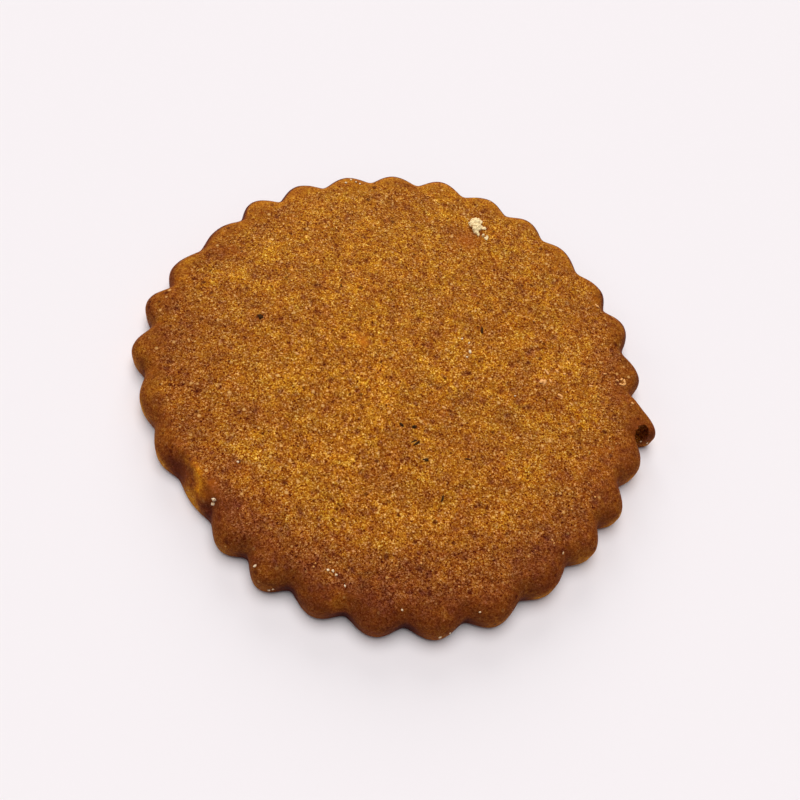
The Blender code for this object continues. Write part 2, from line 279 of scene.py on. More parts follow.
# Blotches that make its edge ragged: wavelength, weight and shift of each layer, and how far they move it
BLOTCHES = ((3.5 * MM, 1.0, 5.0), (1.5 * MM, 0.6, 6.0))
EDGE_RAGGEDNESS = 0.035
# The upright side: shares of the thickness and of the radius between which it begins, and how ragged its
# top is
SIDE_LEVELS = (0.35, 0.85)
SIDE_EDGES = (0.9, 0.97)
SIDE_RAGGEDNESS = 0.05
# Its browning and painted light: direction where it is strongest, least and how much more there, and how
# fast it falls off. Below 0 the side is painted paler than the plain dough, as painted light for the light
# that its upright faces lack; toward that direction it is browned.
WALL_SIDE = -86.0
WALL_BROWNING_AND_LIGHT = (-0.8, 1.7)
WALL_FALL = 9.0
# Painted shade low in the valleys between flutes, where the shoulders keep the light out: how much, where on
# the radius and on the thickness it begins, and how narrow it is
VALLEY_SHADE = 2.0
VALLEY_START = 0.92
VALLEY_LEVELS = (0.4, 0.85)
VALLEY_FALL = 1.5
# Painted contact shade at the foot of the side, where it meets the table, and more browning on the underside
FOOT_SHADE = 1.2
FOOT_LEVELS = (0.04, 0.2)
UNDER_BROWNING = 0.3
UNDER_LEVEL = 0.02              # share of the thickness below which the crust is the underside
# The dark line of painted shade along the top of the side at the back, where the far edge turns from the
# light:
# how much, where on the thickness, and how fast it falls off
BACK_SHADE_LINE = 3.2
BACK_LEVELS = (0.80, 0.93)
BACK_FALL = 3
STAIN_AND_LIGHT_STRENGTH = 0.9            # browning of a stain of strength 1, and the painted shade and highlight of the other marks
PIT_SHADE = 1.0              # painted shade in the deepest pits
BROWNING_AND_LIGHT_LIMITS = (-1.4, 3.5)

# Soft lamps: direction seen from above, elevation, width in the sky, share of the table's light
LAMPS = (
    ("overhead_lamp", 110.0, 78.0, 50.0, 0.68),
    ("back_lamp", 104.0, 22.0, 36.0, 0.14),
    ("left_lamp", 172.0, 25.0, 30.0, 0.04),
)


def srgb(red, green, blue):
    """A colour seen on a screen, from 0 to 255, as linear light."""
    shares = (red / 255.0, green / 255.0, blue / 255.0)
    return tuple(s / 12.92 if s <= 0.04045 else ((s + 0.055) / 1.055) ** 2.4 for s in shares)


def colour_property(title, meaning, red, green, blue):
    return bpy.props.FloatVectorProperty(
        name=title, description=meaning, default=srgb(red, green, blue),
        min=0.0, max=1.0, size=3, subtype="COLOR")


def shares_property(title, meaning, shares):
    return bpy.props.FloatVectorProperty(
        name=title, description=meaning, default=shares, min=0.0, max=1.0, size=3)


def amount_property(title, meaning, amount):
    return bpy.props.FloatProperty(name=title, description=meaning, default=amount, min=0.0)


class CookieRelief(bpy.types.PropertyGroup):
    """How rough and how uneven the crust is."""

    mesh_step: bpy.props.FloatProperty(
        name="Mesh step", description="Distance between the crust's points",
        default=0.24 * MM, min=0.1 * MM, max=2.0 * MM, unit="LENGTH", precision=5)
    roughness: bpy.props.FloatProperty(
        name="Relief", description="Height of the crust's unevenness, 1 as baked",
        default=1.0, min=0.0, max=3.0, subtype="FACTOR")
    pit_count: bpy.props.IntProperty(
        name="Pits", description="Number of small pits in the top", default=2600, min=0)
    bump_height: bpy.props.FloatProperty(
        name="Grain height", description="Height of the finest grain, which is only shaded",
        default=0.12 * MM, min=0.0, unit="LENGTH", precision=5)
    contrast: amount_property("Contrast", "How much the grain's tone varies, 1 as baked", 1.0)
    patchiness: amount_property("Patchiness", "How unevenly the top is browned, 1 as baked", 1.0)
    sheen: bpy.props.FloatProperty(
        name="Sheen", description="How much light the crust mirrors",
        default=0.04, min=0.0, max=1.0, subtype="FACTOR")
    grain_count: bpy.props.IntProperty(
        name="Loose grains", description="Number of small tan grains on top", default=700, min=0)


class CookieColours(bpy.types.PropertyGroup):
    """Colours of the crust, the crumbs and the flecks."""

    pore: colour_property("Pore", "The darkest gaps in the top", 70, 10, 0)
    gap: colour_property("Gap", "The darker grain of the top", 126, 52, 2)
    golden: colour_property("Golden crust", "The middle tone of the top", 165, 96, 14)
    light: colour_property("Light grain", "The lighter grain of the top", 205, 139, 45)
    flour: colour_property("Flour", "The palest grain of the top", 244, 192, 126)
    speck: colour_property("Pale speck", "Single pale specks in the top", 232, 176, 104)
    browned: shares_property(
        "Browned", "Share of red, green and blue light that one unit of browning leaves", (0.50, 0.40, 0.97))
    ruddy: shares_property(
        "Ruddy", "Share of red, green and blue light that one unit of redness leaves", (1.0, 0.86, 0.96))
    blush: colour_property("Blush", "Orange stains", 196, 104, 22)
    # painted shade: the inside of the torn flute is painted dark for the shade in its crevice
    torn: colour_property("Torn dough in painted shade", "The inside where a flute is torn", 50, 28, 18)
    crumb: colour_property("Crumb", "The pale crumbs", 255, 231, 178)
    # painted shade: the hollows of the pale crumbs, placed by noise rather than by their shape
    crumb_hollow_shade: colour_property("Crumb hollows", "The hollows of the pale crumbs", 190, 130, 62)
    small_crumb: colour_property("Small crumb", "The smallest crumbs", 255, 230, 192)
    chip: colour_property("Chip", "The chips of dough", 244, 178, 110)
    tan: colour_property("Tan grain", "The small loose grains", 224, 160, 90)
    fleck: colour_property("Fleck", "The flecks of spice", 30, 20, 12)
    fleck_light: colour_property("Light fleck", "The lighter grain of the flecks", 70, 44, 24)


class CookieStudio(bpy.types.PropertyGroup):
    """The table, the light and the camera."""

    table: colour_property("Table", "The pale table top", 246, 240, 242)
    room: colour_property("Room", "Colour of the even light from all round", 250, 248, 250)
    room_light: amount_property("Room light", "Strength of the even light from all round", 0.17)
    lamp_light: amount_property("Lamp light", "Strength of the soft lamps, 1 as lit", 1.0)
    focal_pixels: bpy.props.FloatProperty(
        name="Focal length", description="Focal length in pixels of the picture", default=900.0, min=1.0)
    elevation: bpy.props.FloatProperty(
        name="Elevation", description="How far the camera looks down",
        default=radians(60.1), subtype="ANGLE", unit="ROTATION")
    roll: bpy.props.FloatProperty(
        name="Roll", description="Turn of the camera about its own axis",
        default=radians(15.72), subtype="ANGLE", unit="ROTATION")
    distance: bpy.props.FloatProperty(
        name="Distance", description="From the camera to the point that it looks at",
        default=109.12 * MM, min=0.001, unit="LENGTH", precision=5)
    aim: bpy.props.FloatVectorProperty(
        name="Aim", description="Point on the table that the camera looks at",
        default=(0.83 * MM, -2.27 * MM, 0.0), size=3, subtype="TRANSLATION", unit="LENGTH")


# The form of the cookie

def smooth_step(low, high, value):
    share = np.clip((value - low) / (high - low), 0.0, 1.0)
    return share * share * (3.0 - 2.0 * share)


def angle_between(angle, other):
    """The signed turn from one direction to another, from -180 to 180."""
    return (angle - other + 180.0) % 360.0 - 180.0


def bell(distance, width):
    return np.exp(-(distance / width) ** 2)


def flute_wave(turns):
    """0 in the valley between two flutes and 1 at a tip, with turns counted in flutes."""
    crest = np.cos(pi * (turns - np.round(turns)))
    softened = np.sqrt(crest ** 2 + VALLEY_SOFTNESS ** 2) - VALLEY_SOFTNESS
    highest = np.sqrt(1.0 + VALLEY_SOFTNESS ** 2) - VALLEY_SOFTNESS
    return (softened / highest) ** FLUTE_POWER


def rim_waves(waves, angle):
    """The sum of several waves round the rim at each angle."""
    return sum(height * np.cos(np.radians(count * (angle - peak))) for count, height, peak in waves)


def flute_number(turns):
    return np.round(turns).astype(int) % FLUTE_COUNT


def unevenness(which):
    """One of the two values of each flute in UNEVEN_FLUTES."""
    return np.array([UNEVEN_FLUTES.get(number, (0.0, 0.0))[which] for number in range(FLUTE_COUNT)])


def slide(turns):
    """How far the flutes slid round the rim, shared out between one flute's middle and the next."""
    before = np.floor(turns).astype(int)
    share = turns - before
    slid = unevenness(1)
    return slid[before % FLUTE_COUNT] * (1.0 - share) + slid[(before + 1) % FLUTE_COUNT] * share


def flute_reach(turns, angle):
    """How far the flutes stand in or out of the plan radius."""
    depth = FLUTE_DEPTH + DEEPENING * np.cos(np.radians(angle - DEEP_SIDE))
    wave = flute_wave(turns)
    number = flute_number(turns)
    longer = unevenness(0)[number] * MM
    torn = TORN_REACH * wave ** TORN_POWER * (number == TORN_FLUTE)
    web = WEB_REACH * bell(turns - WEB_PLACE, WEB_WIDTH)
    return depth * (wave - 0.5) + longer * wave + torn + web


def drag(angle):
    """The turn by which the dough was dragged round the rim."""
    drift = FLUTE_DRIFT * np.cos(np.radians(angle - DRIFT_SIDE))
    return drift + DENT_DRAG * bell(angle_between(angle, DENT_ANGLE), DENT_DRAG_WIDTH)


def noise_at(points, wavelength, shift=0.0):
    """Smooth noise from about -1 to 1 at each point."""
    offset = Vector((shift, shift, shift))
    return np.array([noise.noise(Vector(point) / wavelength + offset) for point in points])


def layered_noise(points, layers):
    """The sum of layers of noise, each with a wavelength, a weight and a shift."""
    return sum(weight * noise_at(points, wavelength, shift) for wavelength, weight, shift in layers)


def shaped(radius, height, cutter_angle):
    """Where points of the plain disc end up in the baked cookie, about the cutter's axis."""
    turns = cutter_angle * FLUTE_COUNT / 360.0
    edge = radius / PLAN_RADIUS
    angle = cutter_angle + FIRST_FLUTE
    angle = angle + (drag(angle) + slide(turns)) * edge
    ripple = smooth_step(RIPPLE_START, RIPPLE_FULL, edge)
    height_share = height / RIM_THICKNESS

    reach = radius + rim_waves(STRETCHES, angle) * edge + flute_reach(turns, angle) * ripple
    curl = CURL * flute_wave(turns) * smooth_step(CURL_START, PLAN_RADIUS, reach)
    angle = angle - curl * (flute_number(turns) == TORN_FLUTE)

    dent = bell(angle_between(angle, DENT_ANGLE), DENT_WIDTH)
    reach = reach - DENT_PUSH * dent * height_share * ripple
    around = np.radians(angle_between(angle, PRESS_ANGLE)) * PRESS_RADIUS
    pressed = bell(np.hypot(reach - PRESS_RADIUS, around), PRESS_WIDTH)
    height = height - PRESS_DEPTH * pressed * smooth_step(PRESS_START, 1.0, height_share)
    top = height_share > TOP_START
    flat = np.column_stack([
        radius * np.cos(np.radians(cutter_angle)),
        radius * np.sin(np.radians(cutter_angle)),
        np.zeros(len(radius)),
    ])
    waves = WAVINESS * noise_at(flat, WAVE_LENGTH) * smooth_step(TOP_START, 1.0, height_share)
    crest = CREST_HEIGHT * dent * bell(reach - CREST_RADIUS, CREST_WIDTH)
    lifted = height + (waves + crest) * top
    return np.column_stack([reach * np.cos(np.radians(angle)), reach * np.sin(np.radians(angle)), lifted])


def arc(centre_radius, centre_height, radius, start, end, step):
    """Points along a round, leaving out its first."""
    count = max(2, round(radius * abs(radians(end - start)) / step))
    points = []
    for index in range(1, count + 1):
        angle = radians(start + (end - start) * index / count)
        points.append((centre_radius + radius * cos(angle), centre_height + radius * sin(angle)))
    return points


def crust_profile(step):
    """Distance out and height of each ring, from near the top's middle to near the underside's."""
    shoulder_start = PLAN_RADIUS - SHOULDER_RADIUS
    count = round(shoulder_start / step)
    rings = []
    for index in range(1, count + 1):
        radius = shoulder_start * index / count
        rings.append((radius, RIM_THICKNESS + DOME_RISE * (1.0 - (radius / shoulder_start) ** 2)))
    rings += arc(shoulder_start, RIM_THICKNESS - SHOULDER_RADIUS, SHOULDER_RADIUS, 90.0, 0.0, step)
    wall = RIM_THICKNESS - SHOULDER_RADIUS - FOOT_RADIUS
    count = round(wall / step)
    for index in range(1, count + 1):
        rings.append((PLAN_RADIUS, FOOT_RADIUS + wall * (1.0 - index / count)))
    foot_start = PLAN_RADIUS - FOOT_RADIUS
    rings += arc(foot_start, FOOT_RADIUS, FOOT_RADIUS, 0.0, -90.0, step)
    count = round(foot_start / UNDERSIDE_STEP)
    for index in range(count - 1, 0, -1):
        rings.append((foot_start * index / count, 0.0))
    return rings


def ring_segments(radius, step, before):
    """How many points a ring needs, halved or doubled from the ring before it."""
    wanted = RIM_SEGMENTS
    while wanted > FLUTE_COUNT and 2.0 * pi * radius / wanted < SPARSE_SHARE * step:
        wanted //= 2
    if before:
        wanted = min(max(wanted, before // 2), before * 2)
    return wanted


def join_rings(faces, first, first_count, second, second_count):
    """Faces between two rings, of which one may have twice the other's points."""
    fewer = min(first_count, second_count)
    for index in range(fewer):
        near, far = (
            [start + (index * count // fewer + extra) % count for extra in range(3)]
            for start, count in ((first, first_count), (second, second_count)))
        if first_count == second_count:
            faces.append((near[0], far[0], far[1], near[1]))
        elif second_count > first_count:
            faces += [(near[0], far[0], far[1]), (near[0], far[1], near[1]), (near[1], far[1], far[2])]
        else:
            faces += [(near[0], far[0], near[1]), (near[1], far[0], far[1]), (near[1], far[1], near[2])]


def link_object(name, mesh):
    piece = bpy.data.objects.new(name, mesh)
    bpy.context.scene.collection.objects.link(piece)
    return piece


def store_values(mesh, name, values):
    layer = mesh.attributes.new(name, "FLOAT", "POINT")
    layer.data.foreach_set("value", np.asarray(values, np.float32))


def read_values(mesh, name):
    values = np.zeros(len(mesh.vertices), np.float32)
    mesh.attributes[name].data.foreach_get("value", values)
    return values.astype(float)


def read_points(mesh, what="co"):
    points = np.zeros(len(mesh.vertices) * 3, np.float32)
    if what == "co":
        mesh.vertices.foreach_get("co", points)
    else:
        mesh.vertex_normals.foreach_get("vector", points)
    return points.reshape(-1, 3).astype(float)


def smooth_cookie(step):
    """The cookie's mesh before any roughness, over the origin, and the middle of its top."""
    rings = crust_profile(step)
    starts, counts, radii, heights, angles = [], [], [], [], []
    before = 0
    total = 1
    for radius, height in rings:
        spacing = step if height > 0.0 else UNDERSIDE_STEP
        before = ring_segments(radius, spacing, before)
        starts.append(total)
        counts.append(before)
        radii.append(np.full(before, radius))
        heights.append(np.full(before, height))
        angles.append(np.arange(before) * 360.0 / before)
        total += before
    radius, height, angle = (np.concatenate(values) for values in (radii, heights, angles))
    wrapped = angle_between(angle, 0.0)
    around = shaped(radius, height, wrapped)
    middle_height = RIM_THICKNESS + DOME_RISE + WAVINESS * noise.noise(Vector((0.0, 0.0, 0.0)))
    points = np.vstack([[(0.0, 0.0, middle_height)], around, [(0.0, 0.0, 0.0)]])
    points[:, :2] -= (around[:, :2].min(0) + around[:, :2].max(0)) / 2.0

    faces = [(0, starts[0] + index, starts[0] + (index + 1) % counts[0]) for index in range(counts[0])]
    for index in range(len(rings) - 1):
        join_rings(faces, starts[index], counts[index], starts[index + 1], counts[index + 1])
    last, count = starts[-1], counts[-1]
    faces += [(total, last + (index + 1) % count, last + index) for index in range(count)]

    mesh = bpy.data.meshes.new("cookie_crust")
    mesh.from_pydata(points.tolist(), [], faces)
    for name, middle, values in (
            ("edge", 0.0, radius / PLAN_RADIUS),
            ("level", 1.0, height / RIM_THICKNESS),
            ("wave", 0.0, flute_wave(wrapped * FLUTE_COUNT / 360.0))):
        store_values(mesh, name, np.concatenate([[middle], values, [0.0]]))
    return mesh, points[0]


# Places that are read from the picture

def camera_axes(studio):
    """Where the camera stands, and how it is turned."""
    back = Vector((0.0, -cos(studio.elevation), sin(studio.elevation)))
    stand = Vector(studio.aim) + back * studio.distance
    turn = back.to_track_quat("Z", "Y") @ Quaternion((0.0, 0.0, 1.0), studio.roll)
    return stand, turn


def seen_place(studio, surface, pixel_x, pixel_y):
    """The point of the surface, and its normal, that the camera sees at a pixel of the picture."""
    stand, turn = camera_axes(studio)
    half = PICTURE_SIDE / 2.0
    ray = turn @ Vector((pixel_x - half, half - pixel_y, -studio.focal_pixels))
    place, normal, _, _ = surface.ray_cast(stand, ray.normalized())
    if place is None:
        raise RuntimeError(f"the camera sees no crust at pixel {pixel_x}, {pixel_y}")
    return place, normal


def nearest_on_line(points, start, end):
    """Distance of each point from a stretch between two places."""
    along = np.array(end - start)
    length = max(along @ along, TINY)
    share = np.clip((points - np.array(start)) @ along / length, 0.0, 1.0)
    return np.linalg.norm(points - np.array(start) - share[:, None] * along, axis=1)


# Nodes of the materials

# Sockets of a mix node that mixes colours: the share, the two colours, and the colour that comes out
MIX_SHARE, MIX_FIRST, MIX_SECOND, MIX_RESULT = 0, 6, 7, 2


class Graph:
    """Adds nodes to a tree. A value is a number, a colour or the output of another node."""

    def __init__(self, tree):
        self.tree = tree
        self.nodes = tree.nodes

    def put(self, node, socket, value):
        target = node.inputs[socket]
        if isinstance(value, bpy.types.NodeSocket):
            self.tree.links.new(value, target)
        elif isinstance(value, (tuple, list)) and len(value) == 3 and target.type == "RGBA":
            target.default_value = (*value, 1.0)
        else:
            target.default_value = value

    def add(self, kind, settings=None, **inputs):
        node = self.nodes.new(kind)
        for name, value in (settings or {}).items():
            setattr(node, name, value)
        for name, value in inputs.items():
            self.put(node, name, value)
        return node

    def group(self, tree, **inputs):
        return self.add("ShaderNodeGroup", {"node_tree": tree}, **inputs)

    def math(self, operation, first, second, clamp=False):
        node = self.nodes.new("ShaderNodeMath")
        node.operation = operation
        node.use_clamp = clamp
        self.put(node, 0, first)
        self.put(node, 1, second)
        return node.outputs[0]

    def mix(self, share, first, second):
        node = self.nodes.new("ShaderNodeMix")
        node.data_type = "RGBA"
        node.clamp_factor = True
        for socket, value in ((MIX_SHARE, share), (MIX_FIRST, first), (MIX_SECOND, second)):
            self.put(node, socket, value)
        return node.outputs[MIX_RESULT]

    def ramp(self, value, low, high, start, end):
        """A smooth change from start to end as the value goes from low to high."""
        node = self.nodes.new("ShaderNodeMapRange")
        node.interpolation_type = "SMOOTHSTEP"
        for socket, number in zip(("Value", "From Min", "From Max", "To Min", "To Max"),
                                  (value, low, high, start, end)):
            self.put(node, socket, number)
        return node.outputs[0]

    def noise(self, place, wavelength, distortion):
        settings = {"Scale": 1.0 / wavelength, "Detail": 0.0, "Distortion": distortion}
        return self.add("ShaderNodeTexNoise", Vector=place, **settings).outputs["Fac"]


def new_group(name, inputs, outputs):
    """An empty node group with its sockets, and the nodes at its two ends."""
    tree = bpy.data.node_groups.new(name, "ShaderNodeTree")
    for way, sockets in (("INPUT", inputs), ("OUTPUT", outputs)):
        for title, kind in sockets:
            tree.interface.new_socket(title, in_out=way, socket_type=kind)
    graph = Graph(tree)
    return graph, graph.nodes.new("NodeGroupInput"), graph.nodes.new("NodeGroupOutput")


def tone_group():
    """Layers of noise, each centred on 0: the grain's tone, its browning, its redness and its height."""
    name = "Dough tone"
    if name in bpy.data.node_groups:
        return bpy.data.node_groups[name]
    graph, start, end = new_group(
        name, [("Place", "NodeSocketVector")],
        [(title, "NodeSocketFloat") for title in ("Fine", "Patches", "Ruddy", "Height")])
    here = start.outputs["Place"]
    apart = graph.add("ShaderNodeVectorMath", {"operation": "ADD"})
    graph.put(apart, 0, here)
    graph.put(apart, 1, RUDDY_SHIFT)
    for socket, layers, place in (
            ("Fine", FINE_TONES, here), ("Patches", PATCHES, here),
            ("Ruddy", RUDDY_PATCHES, apart.outputs[0]), ("Height", HEIGHT_TONES, here)):
        total = 0.0
        for wavelength, weight in layers:
            layer = graph.math("SUBTRACT", graph.noise(place, wavelength, TONE_DISTORTION), 0.5)
            total = graph.math("ADD", total, graph.math("MULTIPLY", layer, weight))
        graph.put(end, socket, total)
    return graph.tree


def tint_group():
    """A colour that is tinted by an amount, such as browned. Below 0 it gets paler."""
    name = "Tint"
    if name in bpy.data.node_groups:
        return bpy.data.node_groups[name]
    graph, start, end = new_group(
        name,
        [("Colour", "NodeSocketColor"), ("Tint", "NodeSocketColor"), ("Amount", "NodeSocketFloat")],
        [("Colour", "NodeSocketColor")])
    colour = graph.add("ShaderNodeSeparateColor", Color=start.outputs["Colour"])
    left = graph.add("ShaderNodeSeparateColor", Color=start.outputs["Tint"])
    joined = graph.add("ShaderNodeCombineColor")
    light = []
    for channel in range(3):
        share = graph.math("POWER", left.outputs[channel], start.outputs["Amount"])
        light.append(graph.math("MULTIPLY", colour.outputs[channel], share))
    warmest = graph.math("ADD", graph.math("MULTIPLY", light[1], BLUE_LIMIT[0]), BLUE_LIMIT[1])
    light[2] = graph.math("MINIMUM", light[2], warmest)
    for channel in range(3):
        graph.put(joined, channel, light[channel])
    graph.put(end, "Colour", joined.outputs["Color"])
    return graph.tree


def speck_group():
    """Scattered specks of uneven width: a mask that is 1 in the middle of each."""
    name = "Specks"
    if name in bpy.data.node_groups:
        return bpy.data.node_groups[name]
    graph, start, end = new_group(
        name,
        [("Place", "NodeSocketVector"), ("Spacing", "NodeSocketFloat"),
         ("Share", "NodeSocketFloat"), ("Width", "NodeSocketFloat")],
        [("Mask", "NodeSocketFloat")])
    spread = graph.math("DIVIDE", 1.0, start.outputs["Spacing"])
    cells = graph.add("ShaderNodeTexVoronoi", Vector=start.outputs["Place"], Scale=spread)
    shade = graph.add("ShaderNodeSeparateColor", Color=cells.outputs["Color"])
    kept = graph.math("LESS_THAN", shade.outputs[0], start.outputs["Share"])
    uneven = graph.math("ADD", shade.outputs[1], NARROWEST_SPECK)
    width = graph.math("MULTIPLY", start.outputs["Width"], uneven)
    near = graph.math("SUBTRACT", 1.0, graph.math("DIVIDE", cells.outputs["Distance"], width), clamp=True)
    speck = graph.math("MULTIPLY", near, SPECK_SHARPNESS, clamp=True)
    graph.put(end, "Mask", graph.math("MULTIPLY", speck, kept))
    return graph.tree


def new_material(name, roughness, specular):
    material = bpy.data.materials.new(name)
    material.use_nodes = True
    graph = Graph(material.node_tree)
    shader = graph.nodes["Principled BSDF"]
    shader.inputs["Roughness"].default_value = roughness
    shader.inputs["Specular IOR Level"].default_value = specular
    place = graph.add("ShaderNodeTexCoord").outputs["Object"]
    return material, graph, shader, place


def attribute(graph, name):
    return graph.add("ShaderNodeAttribute", {"attribute_name": name}).outputs["Fac"]


def bump(graph, height, distance):
    return graph.add("ShaderNodeBump", Height=height, Distance=distance, Strength=1.0).outputs["Normal"]


def tone_ramp(graph, value, stops):
    """A colour for each tone, from stops of a tone and a colour."""
    ramp = graph.add("ShaderNodeValToRGB", Fac=value)
    elements = ramp.color_ramp.elements
    while len(elements) < len(stops):
        elements.new(0.5)
    for element, (position, colour) in zip(elements, stops):
        element.position = position
        element.color = (*colour, 1.0)
    return ramp.outputs["Color"]


def grain_tone(graph, tones, contrast, middle):
    return graph.math("ADD", graph.math("MULTIPLY", tones.outputs["Fine"], contrast), middle)


def crust_material(colours, relief):
    """Golden grain, browned in patches and at the rim, with painted shade in pits, valleys and crevices."""
    material, graph, shader, place = new_material("Baked crust", roughness=0.7, specular=relief.sheen)
    calm, browning, blush = (attribute(graph, name) for name in ("calm", "browning", "blush"))
    tones = graph.group(tone_group(), Place=place)
    grain = graph.math("MULTIPLY", relief.contrast, graph.ramp(calm, 0.0, 1.0, 1.0, CALM_GRAIN))
    colour = tone_ramp(graph, grain_tone(graph, tones, grain, MIDDLE_TONE), (
        (0.0, colours.pore), (0.25, colours.gap), (MIDDLE_TONE, colours.golden),
        (0.75, colours.light), (1.0, colours.flour)))
    patchiness = graph.math("MULTIPLY", relief.patchiness, graph.ramp(calm, 0.0, 1.0, 1.0, CALM_PATCHES))
    amount = graph.math("ADD", browning, graph.math("MULTIPLY", tones.outputs["Patches"], patchiness))
    redness = graph.math("MULTIPLY", tones.outputs["Ruddy"], relief.patchiness)
    redness = graph.math("ADD", redness, graph.math("MULTIPLY", browning, BROWNED_REDNESS))
    for tint, share in ((colours.browned, amount), (colours.ruddy, redness)):
        colour = graph.group(tint_group(), Colour=colour, Tint=tuple(tint), Amount=share).outputs["Colour"]
    colour = graph.mix(graph.math("MULTIPLY", blush, BLUSH_COVER, clamp=True), colour, tuple(colours.blush))

    dark = graph.group(speck_group(), Place=place, **DARK_SPECKS).outputs["Mask"]
    pale = graph.group(speck_group(), Place=place, **PALE_SPECKS).outputs["Mask"]
    colour = graph.mix(graph.math("MULTIPLY", dark, DARK_COVER), colour, tuple(colours.pore))
    shown = graph.math("MULTIPLY", pale, graph.ramp(browning, *PALE_BROWNING, *PALE_COVER))
    graph.put(shader, "Base Color", graph.mix(shown, colour, tuple(colours.speck)))

    height = graph.math("MULTIPLY", tones.outputs["Height"], graph.ramp(calm, 0.0, 1.0, 1.0, CALM_GRAIN))
    graph.put(shader, "Normal", bump(graph, height, relief.bump_height))
    return material


def torn_material(colours, relief):
    """Rough dough inside the torn flute, painted dark as the shade of its crevice."""
    material, graph, shader, place = new_material("Torn dough in painted shade", roughness=0.85, specular=0.05)
    tones = graph.group(tone_group(), Place=place)
    tone = grain_tone(graph, tones, relief.contrast, MIDDLE_TONE)
    colour = tone_ramp(graph, tone, ((0.0, colours.pore), (0.6, colours.torn), (1.0, colours.gap)))
    graph.put(shader, "Base Color", colour)
    graph.put(shader, "Normal", bump(graph, tones.outputs["Height"], relief.bump_height))
    return material


def crumb_material(name, dark, light, roughness):
    """A dry crumb, darker in places set by noise; on the pale crumbs the dark is painted shade for hollows.
    """
    material, graph, shader, place = new_material(name, roughness, specular=0.0)
    tones = graph.group(tone_group(), Place=place)
    tone = grain_tone(graph, tones, CRUMB_CONTRAST, CRUMB_TONE)
    colour = tone_ramp(graph, tone, ((0.0, dark), (CRUMB_TONE, light), (1.0, light)))
    graph.put(shader, "Base Color", colour)
    graph.put(shader, "Normal", bump(graph, tones.outputs["Height"], CRUMB_GRAIN))
    return material


# The pieces

def bumpy_ball(fineness, bumps, shift):
    """A ball of radius 1 with layers of bumps, each of a fineness and a height."""
    ball = bmesh.new()
    bmesh.ops.create_icosphere(ball, subdivisions=fineness, radius=1.0)
    for corner in ball.verts:
        grown = 1.0
        for closeness, height in bumps:
            grown += height * noise.noise(corner.co * closeness + shift)
        corner.co *= grown
    return ball


def apply_modifiers(piece):
    """Make the piece's mesh what its modifiers show."""
    bpy.context.view_layer.update()
    shown = piece.evaluated_get(bpy.context.evaluated_depsgraph_get())
    mesh = bpy.data.meshes.new_from_object(shown)
    piece.modifiers.clear()
    piece.data = mesh


def cut_pocket(crust, middle, material):
    """The hole that the torn flute curls round, with rough torn walls."""
    ball = bumpy_ball(POCKET_FINENESS, POCKET_BUMPS, Vector())
    mesh = bpy.data.meshes.new("pocket")
    ball.to_mesh(mesh)
    ball.free()
    mesh.transform(Matrix.Diagonal((*POCKET_SIZE, 1.0)))
    mesh.materials.append(material)
    pocket = link_object("pocket", mesh)
    angle = radians(POCKET_ANGLE)
    across, along = POCKET_RADIUS * cos(angle), POCKET_RADIUS * sin(angle)
    pocket.location = (middle[0] + across, middle[1] + along, POCKET_HEIGHT)
    pocket.rotation_euler = (radians(POCKET_LEAN), 0.0, angle + radians(POCKET_TURN))
    cut = crust.modifiers.new("Torn pocket", "BOOLEAN")
    cut.operation = "DIFFERENCE"
    cut.object = pocket
    cut.solver = "MANIFOLD"
    apply_modifiers(crust)
    bpy.data.objects.remove(pocket, do_unlink=True)


def random_spot(furthest, draw):
    """A place on a disc, drawn so that it is evenly covered."""
    reach = furthest * draw.random() ** 0.5
    angle = 2.0 * pi * draw.random()
    return reach * cos(angle), reach * sin(angle)


def random_size(sizes, crowding, draw):
    """A size between two, nearer the smaller one with more crowding."""
    return sizes[0] + (sizes[1] - sizes[0]) * draw.random() ** crowding


def sink_pits(points, level, edge, count, draw):
    """Depth of the small pits at each point."""
    depth = np.zeros(len(points))
    tree = kdtree.KDTree(len(points))
    for index, point in enumerate(points):
        tree.insert(point, index)
    tree.balance()
    top = RIM_THICKNESS + DOME_RISE
    for _ in range(count):
        spot = random_spot(PLAN_RADIUS, draw)
        radius = random_size(PIT_RADII, PIT_CROWDING, draw)
        place, _, _ = tree.find((*spot, top))
        for _, index, distance in tree.find_range(place, radius):
            pit = PIT_SLOPE * radius * (1.0 - (distance / radius) ** 2)
            depth[index] = max(depth[index], pit)
    shallower = 1.0 - PIT_RIM_LOSS * smooth_step(PIT_RIM_START, 1.0, edge)
    return depth * smooth_step(*PIT_LEVELS, level) * shallower


def surface_of(mesh):
    """The mesh as a surface that rays can hit."""
    faces = [tuple(face.vertices) for face in mesh.polygons]
    return BVHTree.FromPolygons(read_points(mesh).tolist(), faces)


def crust_surface():
    return surface_of(bpy.data.objects["cookie_crust"].data)


def stain_and_light_masks(points, surface, studio):
    """How dark and how orange the stains, the painted shade and the painted highlight make each point."""
    stain_and_light = np.zeros(len(points))
    blush = np.zeros(len(points))
    ragged = STAIN_AND_LIGHT_RAGGEDNESS * noise_at(points, *STAIN_AND_LIGHT_GRAIN)
    for pixel_x, pixel_y, radius, dark, red in STAIN_AND_LIGHT_PIXELS:
        place = np.array(seen_place(studio, surface, pixel_x, pixel_y)[0])
        near = bell(np.linalg.norm(points - place, axis=1), radius * MM) * (1.0 + ragged)
        stain_and_light += dark * near
        blush += red * near
    return stain_and_light, blush


def facing(across, direction):
    """1 at points in a direction from the middle, and 0 at those on the far side."""
    return 0.5 + 0.5 * np.cos(np.radians(across - direction))


